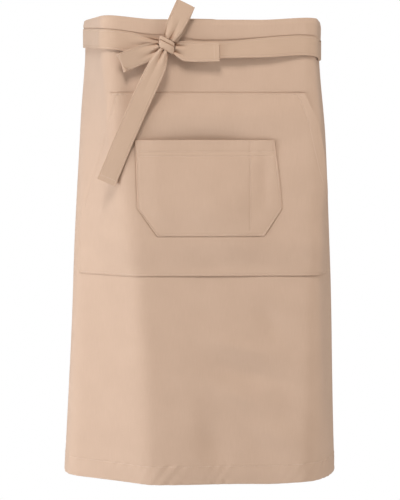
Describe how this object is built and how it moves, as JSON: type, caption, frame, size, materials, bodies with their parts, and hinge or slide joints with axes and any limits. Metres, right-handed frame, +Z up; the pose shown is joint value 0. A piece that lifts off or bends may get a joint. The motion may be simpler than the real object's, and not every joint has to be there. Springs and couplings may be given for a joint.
{
  "type": "long waist apron",
  "caption": "Long waist apron as worn: skirt panel under a folded waistband, wide pouch with side hand openings, patch pocket with a pen slot, and ties wrapped into a front bow.",
  "frame": {"origin": "middle of the wearer's waist, halfway up the waistband", "axes": "+Z up, -Y towards the front of the apron, +X to the right as the front is looked at"},
  "size_m": [0.4363, 0.311, 0.7503],
  "materials": {
    "apron_twill": "matt beige cotton-polyester twill, piece dyed, with tonal stitching",
    "tie_twill": "the same matt beige twill, folded and edge stitched into flat ties"
  },
  "bodies": {
    "root": {"skirt_panel": "apron_twill", "waistband": "apron_twill", "pouch": "apron_twill", "patch_pocket": "apron_twill", "tie_left": "tie_twill", "tie_right": "tie_twill", "bow_loop_upper": "tie_twill", "bow_loop_lower": "tie_twill", "bow_tail_long": "tie_twill", "bow_tail_short": "tie_twill", "bow_knot": "tie_twill"}
  },
  "joints": []
}
